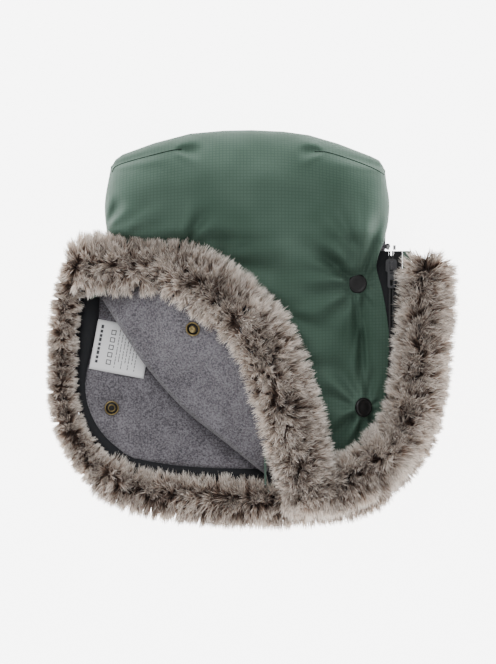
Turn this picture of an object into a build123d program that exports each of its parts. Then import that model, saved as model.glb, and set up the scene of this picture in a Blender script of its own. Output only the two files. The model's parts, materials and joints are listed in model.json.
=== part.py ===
from build123d import *

import math
import os

os.makedirs("parts", exist_ok=True)

# Hand muff for a pram handlebar, lying on its back flap. Millimetres.
# +X runs across the muff, +Y from the open hem to the closed crown, +Z up.

# Cloth layers
SHELL = 1.2
WADDING = 7.6
LINING = 2.5
GAP = 0.2
PAD = SHELL + GAP + WADDING + GAP + LINING

# Heights of the two flaps where they are snapped together
BACK_TOP = PAD
FLAP_GAP = 5.3
FRONT_LOW = BACK_TOP + FLAP_GAP + PAD
CROWN_HEIGHT = 84.0
CROWN_FRONT_Y = 86.0
FLAP_END_Y = 83.0
MID_X = -12.0

# Folded corner: hinge line and resting tilt
FOLD_POINT = (-112.0, -42.5)
FOLD_ANGLE = -46.8
FOLD_TILT = 22.0
FOLD_GAP = 4.0

# Zip trim
EDGE_TO_CLOTH = 7.0
EDGE_TO_LINING = 12.0
EDGE_TO_WADDING = 19.0
TAPE = 0.8
COIL_HALF_WIDTH = 2.4
COIL_GAP = 0.7
COIL_HEIGHT = 2.6
FUR_TAPE_EDGE = 11.0
BACKING_EDGE = 20.0
BACK_TAPE_Z = SHELL + GAP + WADDING - TAPE
FRONT_TAPE_Z = FRONT_LOW - SHELL - GAP - TAPE
BACK_FUR = (0.5, 20.0)
FRONT_FUR = (24.0, 44.0)
FUR_SLOT = 2.4

# Snap fasteners
BRASS_DIAMETER = 13.5
CAP_DIAMETER = 19.0
UPPER_RIGHT = (96.0, 43.0)
LOWER_RIGHT = (99.0, -82.0)
UPPER_LEFT = (-120.0, 43.0)
LOWER_LEFT = (-155.0, -83.0)
CORNER_SNAP = (0.0, 59.0)

# Zip slider
SLIDER_X = 128.0
SLIDER_Y = 61.0
PULL_LENGTH = 24.0
PULL_WIDTH = 7.8

# Outlines: the edges run on past the pieces and are trimmed by the areas below
BACK_EDGE = [(-168, 130), (-190, -10), (-190, -84), (-142, -147), (-17, -149),
             (92, -149), (128, -112), (128, 130)]
FRONT_EDGE = [(-154, 130), (-166, -20), (-130, -175), (-60, -165), (30, -139), (104, -127),
              (128, -102), (128, 130)]
CROWN_EDGE = [(-158, 40), (-152, 158), (-104, 191), (-12, 198), (80, 190), (127, 158),
              (134, 40)]
CORNER_EDGE = [(-96, -40), (-66.8, 47), (-40.7, 73.8), (9.4, 102.9), (50.6, 98.1),
               (104.5, 43.6), (190, -40)]
BACK_FUR_EDGE = [(-212, 42), (-212, -90), (-166, -169), (-84, -193), (80, -198),
                 (156, -169), (190, -124), (204, -60), (204, 42)]
FRONT_FUR_EDGE = [(4, -196), (80, -198), (156, -169), (190, -124), (212, -60), (212, 50),
                  (186, 80), (4, 80)]
CORNER_FUR_EDGE = [(-112, 8), (-110, 62), (-70, 104), (-10, 141), (60, 146), (122, 112),
                   (172, 70), (198, 34), (196, 8)]
BACK_TRIM = [(-230, 86.2), (-230, -230), (230, -230), (230, 86.2)]
BACK_ZIP_TRIM = [(-230, 42), (-230, -230), (230, -230), (230, 42)]
FRONT_TRIM = [(-220, FLAP_END_Y), (-220, 79.7), (64.8, -223.6), (230, -223.6),
              (230, FLAP_END_Y)]
FRONT_ZIP_TRIM = [(4, -220), (4, -110), (60, -60), (60, 76), (230, 76), (230, -220)]
CORNER_TRIM = [(-130, FOLD_GAP), (-130, 180), (230, 180), (230, FOLD_GAP)]

fold_plane = Plane(
    origin=(FOLD_POINT[0], FOLD_POINT[1], FRONT_LOW),
    x_dir=Vector(1, 0, 0).rotate(Axis.Z, FOLD_ANGLE),
    z_dir=Vector(0, 0, 1).rotate(
        Axis((0, 0, 0), Vector(1, 0, 0).rotate(Axis.Z, FOLD_ANGLE)), FOLD_TILT
    ),
)
fold_section = Plane(
    origin=(FOLD_POINT[0], FOLD_POINT[1], 0),
    x_dir=Vector(0, 1, 0).rotate(Axis.Z, FOLD_ANGLE),
    z_dir=Vector(0, 0, 1).cross(Vector(0, 1, 0).rotate(Axis.Z, FOLD_ANGLE)) * -1,
)


def outline(points, grow=0.0, radius=14.0):
    """A closed outline with rounded corners, grown or shrunk by an amount."""
    with BuildSketch() as area:
        with BuildLine():
            FilletPolyline(*points, radius=radius, close=True)
        make_face()
        if grow:
            offset(amount=grow)
    return area.sketch


def ring(outer, inner):
    """The area inside one outline and outside another."""
    with BuildSketch() as area:
        add(outer)
        add(inner, mode=Mode.SUBTRACT)
    return area.sketch


def slab(area, bottom, top, plane=Plane.XY):
    """A flat layer of one area between two heights above a plane."""
    with BuildPart() as layer:
        with BuildSketch(plane.offset(bottom)):
            add(area)
        extrude(amount=top - bottom)
    return layer.part


def crown_block(inset):
    """The closed end of the pocket, every face moved inwards by an inset."""
    low, high = inset, CROWN_HEIGHT - inset
    left, right = -158 + inset, 134 - inset
    end = 198 - inset
    with BuildPart() as block:
        with BuildSketch(Plane.XZ.offset(-end)):
            with BuildLine():
                Spline((left, 26), (-132, high - 28), (-84, high - 9), (MID_X, high),
                       (60, high - 9), (108, high - 28), (right, 26))
                Polyline((right, 26), (right - 12, low), (left + 12, low), (left, 26))
            make_face()
        extrude(amount=end - CROWN_FRONT_Y)
        with BuildSketch(Plane.XY):
            add(outline(CROWN_EDGE, -inset))
        extrude(amount=CROWN_HEIGHT, mode=Mode.INTERSECT)
        with BuildSketch(Plane.YZ.offset(-200)):
            with BuildLine():
                Polyline((end - 26, low), (60, low), (60, high), (110, high))
                Spline((110, high), (150, high - 8), (184 - inset, high - 30), (end, 34),
                       (end - 8, low + 6), (end - 26, low))
            make_face()
        extrude(amount=400, mode=Mode.INTERSECT)
    return block.part


def front_block(drop, edge):
    """Everything under the domed front flap, its upper face lowered by a drop."""
    base = FRONT_LOW - drop
    with BuildPart() as block:
        with BuildSketch(Plane.XY):
            add(edge)
        extrude(amount=CROWN_HEIGHT)
        with BuildSketch(Plane.XZ.offset(-100)):
            with BuildLine():
                Polyline((-180, base), (-180, 0), (140, 0), (140, base), (84, base))
                Spline((84, base), (66, base + 22), (34, base + 44),
                       (MID_X, CROWN_HEIGHT - drop), (-58, base + 44), (-90, base + 22),
                       (-108, base))
                Line((-108, base), (-180, base))
            make_face()
        extrude(amount=280, mode=Mode.INTERSECT)
        with BuildSketch(Plane.YZ.offset(-200)):
            with BuildLine():
                Spline((FLAP_END_Y, CROWN_HEIGHT - drop), (40, 81 - drop), (0, 73 - drop),
                       (-50, 57 - drop), (-85, 43 - drop), (-108, base))
                Polyline((-108, base), (-160, base), (-160, 0), (FLAP_END_Y, 0),
                         (FLAP_END_Y, CROWN_HEIGHT - drop))
            make_face()
        extrude(amount=400, mode=Mode.INTERSECT)
        with BuildSketch(fold_section.offset(-260)):
            with BuildLine():
                Polyline((-10, base - 0.5), (45, base), (68, 37 - drop), (95, 47 - drop),
                         (150, 69 - drop), (200, 90 - drop), (340, 90 - drop), (340, 0),
                         (-10, 0), (-10, base - 0.5))
            make_face()
        extrude(amount=520, mode=Mode.INTERSECT)
    return block.part


def snap_holes(points, diameter, bottom, top, plane=Plane.XY):
    """Round clearances through a layer at the snap positions."""
    with BuildPart() as holes:
        with BuildSketch(plane.offset(bottom)):
            with Locations(*points):
                Circle(diameter / 2)
        extrude(amount=top - bottom)
    return holes.part


def trimmed(area, trim):
    """The part of an area inside a trimming outline."""
    with BuildSketch() as kept:
        add(area)
        with BuildLine():
            Polyline(*trim, close=True)
        make_face(mode=Mode.INTERSECT)
    return kept.sketch


def zip_bands(edge, trim):
    """The body tape, pair of coils, trim tape and backing strip along one edge."""
    spans = [(-2.6, -17), (-COIL_GAP, -COIL_HALF_WIDTH), (COIL_HALF_WIDTH, COIL_GAP),
             (FUR_TAPE_EDGE, 2.6), (BACKING_EDGE, FUR_TAPE_EDGE + 0.3)]
    bands = [trimmed(ring(outline(edge, high), outline(edge, low)), trim)
             for high, low in spans]
    with BuildSketch() as coils:
        add(bands[1])
        add(bands[2])
    return bands[0], coils.sketch, bands[3], bands[4]


def fur_band(fur_edge, edge, trim):
    """The pile area outside the zip."""
    return trimmed(ring(outline(fur_edge), outline(edge, EDGE_TO_CLOTH)), trim)


back_cloth = trimmed(outline(BACK_EDGE, -3), BACK_TRIM)
back_lining_area = trimmed(outline(BACK_EDGE, -EDGE_TO_LINING), BACK_TRIM)
back_wadding_area = trimmed(outline(BACK_EDGE, -EDGE_TO_WADDING), BACK_TRIM)
front_cloth = trimmed(outline(FRONT_EDGE, -EDGE_TO_CLOTH), FRONT_TRIM)
front_wadding_area = trimmed(outline(FRONT_EDGE, -EDGE_TO_WADDING), FRONT_TRIM)
corner_cloth = trimmed(outline(CORNER_EDGE, -EDGE_TO_CLOTH), CORNER_TRIM)
corner_wadding_area = trimmed(outline(CORNER_EDGE, -EDGE_TO_WADDING), CORNER_TRIM)
front_snaps = [UPPER_RIGHT, LOWER_RIGHT, UPPER_LEFT]
all_snaps = front_snaps + [LOWER_LEFT]

# Back flap and crown
with BuildPart() as back_shell:
    add(slab(back_cloth, 0, SHELL))
    add(crown_block(0))
    add(crown_block(SHELL), mode=Mode.SUBTRACT)
    add(snap_holes(all_snaps, CAP_DIAMETER + 1, -1, 3), mode=Mode.SUBTRACT)
back_shell.part.label = "back_shell"

wadding_low = SHELL + GAP
wadding_high = wadding_low + WADDING
with BuildPart() as back_wadding:
    add(slab(back_wadding_area, wadding_low, wadding_high))
    add(crown_block(wadding_low))
    add(crown_block(wadding_high), mode=Mode.SUBTRACT)
    add(snap_holes(all_snaps, CAP_DIAMETER + 1.6, 0, 20), mode=Mode.SUBTRACT)
back_wadding.part.label = "back_wadding"

lining_low = wadding_high + GAP
with BuildPart() as back_lining:
    add(slab(back_lining_area, lining_low, PAD))
    add(crown_block(lining_low))
    add(crown_block(PAD), mode=Mode.SUBTRACT)
    add(snap_holes(all_snaps, BRASS_DIAMETER + 1, 0, 20), mode=Mode.SUBTRACT)
back_lining.part.label = "back_lining"

# Front flap
with BuildPart() as front_shell:
    add(front_block(0, front_cloth))
    add(front_block(SHELL, front_cloth), mode=Mode.SUBTRACT)
    add(snap_holes(front_snaps, 7, 0, 60), mode=Mode.SUBTRACT)
front_shell.part.label = "front_shell"

with BuildPart() as front_wadding:
    add(front_block(wadding_low, front_wadding_area))
    add(front_block(wadding_high, front_wadding_area), mode=Mode.SUBTRACT)
    add(snap_holes(front_snaps, 16, 0, 60), mode=Mode.SUBTRACT)
front_wadding.part.label = "front_wadding"

with BuildPart() as front_lining:
    add(front_block(lining_low, front_cloth))
    add(front_block(PAD, front_cloth), mode=Mode.SUBTRACT)
    add(snap_holes(front_snaps, BRASS_DIAMETER + 1, 0, 60), mode=Mode.SUBTRACT)
front_lining.part.label = "front_lining"

# Folded corner of the front flap
with BuildPart() as corner_shell:
    add(slab(corner_cloth, 0, SHELL, fold_plane))
    add(snap_holes([CORNER_SNAP], 7, -1, 3, fold_plane), mode=Mode.SUBTRACT)
corner_shell.part.label = "corner_shell"

with BuildPart() as corner_wadding:
    add(slab(corner_wadding_area, wadding_low, wadding_high, fold_plane))
    add(snap_holes([CORNER_SNAP], 16, 0, 20, fold_plane), mode=Mode.SUBTRACT)
corner_wadding.part.label = "corner_wadding"

with BuildPart() as corner_lining:
    add(slab(corner_cloth, lining_low, PAD, fold_plane))
    add(snap_holes([CORNER_SNAP], BRASS_DIAMETER + 1, 0, 20, fold_plane),
        mode=Mode.SUBTRACT)
corner_lining.part.label = "corner_lining"

# Zip bands and fur on the back flap
tape_area, coil_area, fur_tape_area, backing_area = zip_bands(BACK_EDGE, BACK_ZIP_TRIM)
back_mid = BACK_TAPE_Z + TAPE / 2
with BuildPart() as back_zip_tape:
    add(slab(tape_area, BACK_TAPE_Z, BACK_TAPE_Z + TAPE))
with BuildPart() as back_zip_coil:
    add(slab(coil_area, back_mid - COIL_HEIGHT / 2, back_mid + COIL_HEIGHT / 2))
with BuildPart() as back_fur_tape:
    add(slab(fur_tape_area, BACK_TAPE_Z, BACK_TAPE_Z + TAPE))
with BuildPart() as back_fur_backing:
    add(slab(backing_area, BACK_TAPE_Z, BACK_TAPE_Z + TAPE))
with BuildPart() as back_fur:
    add(slab(fur_band(BACK_FUR_EDGE, BACK_EDGE, BACK_ZIP_TRIM), *BACK_FUR))
    add(slab(outline(BACK_EDGE, BACKING_EDGE + 1), back_mid - FUR_SLOT / 2,
             back_mid + FUR_SLOT / 2), mode=Mode.SUBTRACT)

# Zip bands and fur on the front flap
tape_area, coil_area, fur_tape_area, backing_area = zip_bands(FRONT_EDGE, FRONT_ZIP_TRIM)
front_mid = FRONT_TAPE_Z + TAPE / 2
with BuildPart() as front_zip_tape:
    add(slab(tape_area, FRONT_TAPE_Z, FRONT_TAPE_Z + TAPE))
with BuildPart() as front_zip_coil:
    add(slab(coil_area, front_mid - COIL_HEIGHT / 2, front_mid + COIL_HEIGHT / 2))
with BuildPart() as front_fur_tape:
    add(slab(fur_tape_area, FRONT_TAPE_Z, FRONT_TAPE_Z + TAPE))
with BuildPart() as front_fur_backing:
    add(slab(backing_area, FRONT_TAPE_Z, FRONT_TAPE_Z + TAPE))
front_fur_area = fur_band(FRONT_FUR_EDGE, FRONT_EDGE, FRONT_ZIP_TRIM)
with BuildPart() as front_fur:
    add(slab(front_fur_area, *FRONT_FUR))
    add(slab(outline(FRONT_EDGE, BACKING_EDGE + 1), front_mid - FUR_SLOT / 2,
             front_mid + FUR_SLOT / 2), mode=Mode.SUBTRACT)

# Zip bands and fur on the folded corner
tape_area, coil_area, fur_tape_area, backing_area = zip_bands(CORNER_EDGE, CORNER_TRIM)
corner_tape_z = SHELL + GAP
corner_mid = corner_tape_z + TAPE / 2
with BuildPart() as corner_zip_tape:
    add(slab(tape_area, corner_tape_z, corner_tape_z + TAPE, fold_plane))
with BuildPart() as corner_zip_coil:
    add(slab(coil_area, corner_mid - COIL_HEIGHT / 2, corner_mid + COIL_HEIGHT / 2,
             fold_plane))
front_fur_room = slab(outline(FRONT_FUR_EDGE, 1.5), 0, FRONT_FUR[1] + 1)
with BuildPart() as corner_fur_tape:
    add(slab(fur_tape_area, corner_tape_z, corner_tape_z + TAPE, fold_plane))
    add(front_fur_room, mode=Mode.SUBTRACT)
with BuildPart() as corner_fur_backing:
    add(slab(backing_area, corner_tape_z, corner_tape_z + TAPE, fold_plane))
    add(front_fur_room, mode=Mode.SUBTRACT)
with BuildPart() as corner_fur:
    add(slab(fur_band(CORNER_FUR_EDGE, CORNER_EDGE, CORNER_TRIM), FRONT_LOW - FRONT_FUR[1],
             FRONT_LOW - FRONT_FUR[0], fold_plane))
    add(slab(outline(CORNER_EDGE, BACKING_EDGE + 1), corner_mid - FUR_SLOT / 2,
             corner_mid + FUR_SLOT / 2, fold_plane), mode=Mode.SUBTRACT)
    with BuildSketch(fold_section.offset(-300)):
        with BuildLine():
            Polyline((-60, 33), (45, 33), (68, 38.5), (95, 48.5), (150, 70.5), (150, 0),
                     (-60, 0), close=True)
        make_face()
    extrude(amount=600, mode=Mode.SUBTRACT)
    with BuildSketch(Plane.XY):
        with Locations((0, 81)):
            Rectangle(500, 100, align=(Align.CENTER, Align.MIN))
    extrude(amount=140, mode=Mode.SUBTRACT)
    add(front_fur_room, mode=Mode.SUBTRACT)

# Snap fasteners: black caps outside, brass studs and sockets inside
with BuildPart() as snap_posts:
    with BuildSketch(Plane.XY.offset(0.2)):
        with Locations(*all_snaps):
            Circle(CAP_DIAMETER / 2)
    extrude(amount=2.4)
    with BuildSketch(Plane.XY.offset(2.6)):
        with Locations(*all_snaps):
            Circle(2.4)
    extrude(amount=6.8)
with BuildPart() as snap_sockets:
    with BuildSketch(Plane.XY.offset(9.6)):
        with Locations(*all_snaps):
            Circle(BRASS_DIAMETER / 2)
    extrude(amount=2.0)
    with BuildSketch(Plane.XY.offset(11.6)):
        with Locations(*all_snaps):
            Circle(5.2)
            Circle(3.1, mode=Mode.SUBTRACT)
    extrude(amount=2.6)


def stud(points, plane):
    """Brass studs hanging under a flap, one at each point of a plane."""
    with BuildPart() as studs:
        with BuildSketch(plane.offset(-PAD - 1.4)):
            with Locations(*points):
                Circle(4.2)
        extrude(amount=1.2)
        with BuildSketch(plane.offset(-PAD - 0.2)):
            with Locations(*points):
                Circle(BRASS_DIAMETER / 2)
        extrude(amount=2.2)
    return studs.part


def cap(points, plane):
    """Black caps on top of a flap with their stems through the wadding."""
    with BuildPart() as caps:
        with BuildSketch(plane.offset(-PAD + 2.2)):
            with Locations(*points):
                Circle(2.4)
        extrude(amount=PAD - 2.0)
        with BuildSketch(plane.offset(0.2)):
            with Locations(*points):
                Circle(CAP_DIAMETER / 2)
        extrude(amount=2.2)
        with BuildSketch(plane.offset(2.4)):
            with Locations(*points):
                Circle(CAP_DIAMETER / 2 - 2)
        extrude(amount=0.8)
    return caps.part


front_plane = Plane.XY.offset(FRONT_LOW)
flipped_fold = Plane(origin=fold_plane.origin, x_dir=fold_plane.x_dir,
                     z_dir=-fold_plane.z_dir)
corner_point = [(CORNER_SNAP[0], -CORNER_SNAP[1])]
with BuildPart() as front_studs:
    add(stud(front_snaps, front_plane))
with BuildPart() as front_caps:
    add(cap(front_snaps, front_plane))
with BuildPart() as corner_stud:
    add(stud(corner_point, flipped_fold))
with BuildPart() as corner_cap:
    add(cap(corner_point, flipped_fold))

# Care label on the back lining
with BuildPart() as care_label:
    with BuildSketch(Plane.XY.offset(BACK_TOP + 0.2)):
        with Locations(Location((-144, -22.4), -10.6)):
            Rectangle(56, 51)
    extrude(amount=0.4)

# Rolled lining binding at both ends of the crown opening
with BuildPart() as hole_bindings:
    with Locations((124.5, 81, 12.2), (-164, 81, 12.2)):
        Cylinder(2.8, 11.4, align=(Align.CENTER, Align.CENTER, Align.MIN))

# Stops at the open end of the zip
with BuildPart() as top_stops:
    with Locations((SLIDER_X - 3.2, 79.4, front_mid), (SLIDER_X + 3.2, 79.4, front_mid)):
        Box(2.6, 4.6, 3.2)

# Zip slider: two plates joined by a wedge, with a bridge for the pull
slider_plane = Plane.XY.offset(front_mid)
with BuildPart() as zip_slider:
    with BuildSketch(slider_plane.offset(1.7)):
        with Locations((SLIDER_X, SLIDER_Y)):
            RectangleRounded(11.4, 14, 3.4)
    extrude(amount=1.3)
    with BuildSketch(slider_plane.offset(-3.0)):
        with Locations((SLIDER_X, SLIDER_Y)):
            RectangleRounded(11.4, 14, 3.4)
    extrude(amount=1.3)
    with BuildSketch(slider_plane.offset(-1.8)):
        with Locations((SLIDER_X, SLIDER_Y + 5.6)):
            Rectangle(0.8, 2.0)
    extrude(amount=3.6)
    with BuildSketch(Plane.YZ.offset(SLIDER_X - 1.2)):
        with BuildLine():
            Polyline((SLIDER_Y - 5, front_mid + 2.6), (SLIDER_Y - 4, front_mid + 7.4),
                     (SLIDER_Y + 3.5, front_mid + 7.4), (SLIDER_Y + 5, front_mid + 2.6),
                     (SLIDER_Y + 3.4, front_mid + 2.6), (SLIDER_Y + 2.4, front_mid + 6),
                     (SLIDER_Y - 2.8, front_mid + 6), (SLIDER_Y - 3.4, front_mid + 2.6),
                     close=True)
        make_face()
    extrude(amount=2.4)

# Zip pull: a flat tab with two holes, its loop round the slider bridge
pull_z = front_mid + 3.7
with BuildPart() as zip_pull:
    with BuildSketch(Plane.XY.offset(pull_z)):
        with Locations((SLIDER_X, SLIDER_Y + 1.5 - PULL_LENGTH / 2)):
            RectangleRounded(PULL_WIDTH, PULL_LENGTH, 2.6)
        with Locations((SLIDER_X, SLIDER_Y - 4.2)):
            RectangleRounded(3.6, 7.4, 1.2, mode=Mode.SUBTRACT)
        with Locations((SLIDER_X, SLIDER_Y - 17)):
            RectangleRounded(3.2, 6.4, 1.5, mode=Mode.SUBTRACT)
    extrude(amount=1.3)

NODES = {
    "back_shell": back_shell, "back_wadding": back_wadding, "back_lining": back_lining,
    "back_zip_tape": back_zip_tape, "back_zip_coil": back_zip_coil,
    "back_fur_tape": back_fur_tape, "back_fur_backing": back_fur_backing,
    "back_fur": back_fur, "snap_sockets": snap_sockets, "snap_posts": snap_posts,
    "care_label": care_label, "hole_bindings": hole_bindings,
    "front_shell": front_shell, "front_wadding": front_wadding,
    "front_lining": front_lining, "front_zip_tape": front_zip_tape,
    "front_zip_coil": front_zip_coil, "front_fur_tape": front_fur_tape,
    "front_fur_backing": front_fur_backing, "front_fur": front_fur,
    "front_caps": front_caps, "front_studs": front_studs, "top_stops": top_stops,
    "corner_shell": corner_shell, "corner_wadding": corner_wadding,
    "corner_lining": corner_lining, "corner_zip_tape": corner_zip_tape,
    "corner_zip_coil": corner_zip_coil, "corner_fur_tape": corner_fur_tape,
    "corner_fur_backing": corner_fur_backing, "corner_fur": corner_fur,
    "corner_cap": corner_cap, "corner_stud": corner_stud,
    "zip_slider": zip_slider, "zip_pull": zip_pull,
}
for node_name, node in NODES.items():
    node.part.label = node_name
    export_step(node.part, f"parts/{node_name}.step")
    box = node.part.bounding_box()
    print(node_name, len(node.part.solids()), round(node.part.volume),
          [round(v, 1) for v in (*box.min, *box.max)])
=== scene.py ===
"""Looks of a quilted pram hand muff with a zip-on faux-fur trim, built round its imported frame."""

import json
import logging
import math
from dataclasses import dataclass
from enum import Enum
from typing import Sequence

import bpy
import numpy as np
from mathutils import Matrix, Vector
from mathutils.bvhtree import BVHTree

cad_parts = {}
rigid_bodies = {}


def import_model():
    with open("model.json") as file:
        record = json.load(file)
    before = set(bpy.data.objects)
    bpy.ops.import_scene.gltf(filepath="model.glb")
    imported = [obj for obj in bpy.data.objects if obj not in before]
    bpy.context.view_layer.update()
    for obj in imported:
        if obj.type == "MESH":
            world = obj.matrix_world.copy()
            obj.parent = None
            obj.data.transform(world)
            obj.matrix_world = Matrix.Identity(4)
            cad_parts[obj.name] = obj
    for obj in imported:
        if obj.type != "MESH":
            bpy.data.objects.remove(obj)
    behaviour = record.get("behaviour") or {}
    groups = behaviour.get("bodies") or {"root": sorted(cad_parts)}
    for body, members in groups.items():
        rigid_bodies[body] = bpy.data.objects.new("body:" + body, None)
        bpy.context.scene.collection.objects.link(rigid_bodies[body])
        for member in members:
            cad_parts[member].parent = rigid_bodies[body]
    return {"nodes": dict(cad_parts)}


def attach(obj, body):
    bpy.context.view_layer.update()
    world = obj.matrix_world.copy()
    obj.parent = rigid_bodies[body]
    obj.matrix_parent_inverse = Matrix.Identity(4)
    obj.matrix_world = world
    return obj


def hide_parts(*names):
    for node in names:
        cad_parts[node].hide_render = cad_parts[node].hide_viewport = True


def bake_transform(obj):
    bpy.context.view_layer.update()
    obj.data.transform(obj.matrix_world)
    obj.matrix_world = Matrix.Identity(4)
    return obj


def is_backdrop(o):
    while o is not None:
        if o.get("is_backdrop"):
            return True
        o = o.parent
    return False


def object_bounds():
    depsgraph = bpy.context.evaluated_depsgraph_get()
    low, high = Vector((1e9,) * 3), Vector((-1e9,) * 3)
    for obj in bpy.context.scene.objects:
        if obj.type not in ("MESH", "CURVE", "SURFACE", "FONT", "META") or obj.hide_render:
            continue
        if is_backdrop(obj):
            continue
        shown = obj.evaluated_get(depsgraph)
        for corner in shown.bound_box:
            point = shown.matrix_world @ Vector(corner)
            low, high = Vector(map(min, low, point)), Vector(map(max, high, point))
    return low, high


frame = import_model()
log = logging.getLogger("muff")
MM = 0.001
Array = np.ndarray
Point = tuple[float, float]

LOW = 28.7  # height of the front flap's face where it is snapped down, mm
FOLD = np.array([-112.0, -42.5])  # a point on the corner's crease, mm
ALONG = np.array([0.684547, -0.728969])  # along the crease
ACROSS = np.array([-ALONG[1], ALONG[0]])  # from the crease towards the middle of the front
TILT = math.radians(22.0)  # how steeply the folded corner lies
DROP_FROM = 1.0  # height that settled points fall from, m
STRAND_WIDTH = 0.0011  # m
LOWEST_TIP = 0.0006  # height below which no strand reaches, m
FLOOR_GLOW = 6.0  # light that the floor gives off, so that it shows nearly white
ROOM_LIGHT = 0.75
LENS = 135.5  # mm
EYE = (-0.016, -0.0055, 2.54)  # m


class Body(str, Enum):
    """Rigid bodies that the pieces ride on."""

    BACK = "back"
    FRONT = "front"
    CORNER = "corner"


def linear(code: str) -> tuple[float, float, float, float]:
    """Converts an sRGB hex code to linear colour.

    Args:
        code: six hex digits.

    Returns:
        Linear red, green, blue and alpha.
    """
    parts = [int(code[i:i + 2], 16) / 255 for i in (0, 2, 4)]
    return (*[c / 12.92 if c <= 0.04045 else ((c + 0.055) / 1.055) ** 2.4 for c in parts], 1.0)


def add_node(tree: bpy.types.NodeTree, kind: str, values: dict | None = None,
             **settings: object) -> bpy.types.Node:
    """Adds a node, sets its properties, and sets or links its inputs.

    Args:
        tree: the node tree.
        kind: the node's type name.
        values: input name or index to a value, or to an output socket to link.
        settings: properties of the node.

    Returns:
        The new node.
    """
    node = tree.nodes.new(kind)
    for key, value in settings.items():
        setattr(node, key, value)
    for key, value in (values or {}).items():
        if isinstance(value, bpy.types.NodeSocket):
            tree.links.new(value, node.inputs[key])
        else:
            node.inputs[key].default_value = value
    return node


def math_node(tree: bpy.types.NodeTree, operation: str, first: object,
              second: object = 0.0) -> bpy.types.NodeSocket:
    """Adds a math node and returns its result."""
    return add_node(tree, "ShaderNodeMath", {0: first, 1: second},
                    operation=operation).outputs[0]


def colour_ramp(tree: bpy.types.NodeTree, factor: bpy.types.NodeSocket,
                stops: Sequence[tuple[float, str]]) -> bpy.types.NodeSocket:
    """Adds a colour ramp with the given positions and hex colours."""
    node = add_node(tree, "ShaderNodeValToRGB", {0: factor})
    while len(node.color_ramp.elements) < len(stops):
        node.color_ramp.elements.new(0.5)
    for element, (place, code) in zip(node.color_ramp.elements, stops):
        element.position = place
        element.color = linear(code)
    return node.outputs[0]


@dataclass(frozen=True)
class Finish:
    """A surface finish on the principled shader."""

    name: str
    colour: str
    roughness: float
    metallic: float = 0.0
    sheen: float = 0.0
    specular: float = 0.5

    def base(self) -> tuple[bpy.types.Material, bpy.types.NodeTree, bpy.types.Node]:
        """Makes the material with its constant values set."""
        material = bpy.data.materials.new(self.name)
        material.use_nodes = True
        tree = material.node_tree
        shader = tree.nodes["Principled BSDF"]
        shader.inputs["Base Color"].default_value = linear(self.colour)
        shader.inputs["Roughness"].default_value = self.roughness
        shader.inputs["Metallic"].default_value = self.metallic
        shader.inputs["Sheen Weight"].default_value = self.sheen
        shader.inputs["Specular IOR Level"].default_value = self.specular
        return material, tree, shader

    def build(self) -> bpy.types.Material:
        """Makes the material."""
        return self.base()[0]


@dataclass(frozen=True)
class Ripstop(Finish):
    """Coated nylon with a fine square grid of heavier threads."""

    grid: float = 3.4  # mm between heavier threads
    deep: str = "364A3F"

    def build(self) -> bpy.types.Material:
        """Makes the material; the grid follows the cloth's own millimetres."""
        material, tree, shader = self.base()
        weave = add_node(tree, "ShaderNodeAttribute", attribute_name="weave").outputs["Vector"]
        split = add_node(tree, "ShaderNodeSeparateXYZ", {0: weave})
        lines = []
        for axis in (0, 1):
            phase = math_node(tree, "FRACT", math_node(tree, "DIVIDE", split.outputs[axis],
                                                       self.grid))
            edge = math_node(tree, "ABSOLUTE", math_node(tree, "SUBTRACT", phase, 0.5))
            lines.append(math_node(tree, "GREATER_THAN", edge, 0.38))
        grid = math_node(tree, "MAXIMUM", lines[0], lines[1])
        blotch = add_node(tree, "ShaderNodeTexNoise", {"Vector": weave, "Scale": 0.012,
                                                       "Detail": 2.0}).outputs["Fac"]
        mixed = colour_ramp(tree, blotch, [(0.3, self.deep), (0.7, self.colour)])
        dark = add_node(tree, "ShaderNodeMix", {0: 0.22, 6: mixed, 7: linear("1B2C23")},
                        data_type="RGBA").outputs[2]
        final = add_node(tree, "ShaderNodeMix", {0: grid, 6: mixed, 7: dark},
                         data_type="RGBA").outputs[2]
        tree.links.new(final, shader.inputs["Base Color"])
        grain = add_node(tree, "ShaderNodeTexNoise", {"Vector": weave, "Scale": 0.12,
                                                      "Detail": 3.0}).outputs["Fac"]
        height = math_node(tree, "ADD", math_node(tree, "MULTIPLY", grid, 0.10),
                           math_node(tree, "MULTIPLY", grain, 0.6))
        bump = add_node(tree, "ShaderNodeBump", {"Strength": 0.25, "Distance": 0.0012,
                                                 "Height": height})
        tree.links.new(bump.outputs[0], shader.inputs["Normal"])
        return material


@dataclass(frozen=True)
class Fleece(Finish):
    """Brushed polyester fleece with a soft mottled nap."""

    light: str = "7F7C82"
    nap: float = 1.7  # mm, size of a tuft of nap

    def build(self) -> bpy.types.Material:
        """Makes the material; the nap is a fine noise with broader brushed patches."""
        material, tree, shader = self.base()
        place = add_node(tree, "ShaderNodeTexCoord").outputs["Object"]
        fine = add_node(tree, "ShaderNodeTexNoise",
                        {"Vector": place, "Scale": 1 / (self.nap * MM), "Detail": 4.0,
                         "Roughness": 0.7}).outputs["Fac"]
        broad = add_node(tree, "ShaderNodeTexNoise",
                         {"Vector": place, "Scale": 60.0, "Detail": 2.0}).outputs["Fac"]
        mix = math_node(tree, "ADD", math_node(tree, "MULTIPLY", fine, 0.82),
                        math_node(tree, "MULTIPLY", broad, 0.18))
        colour = colour_ramp(tree, mix, [(0.4, self.colour), (0.6, self.light)])
        tree.links.new(colour, shader.inputs["Base Color"])
        bump = add_node(tree, "ShaderNodeBump", {"Strength": 0.8, "Distance": 0.0016,
                                                 "Height": mix})
        tree.links.new(bump.outputs[0], shader.inputs["Normal"])
        return material


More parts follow.
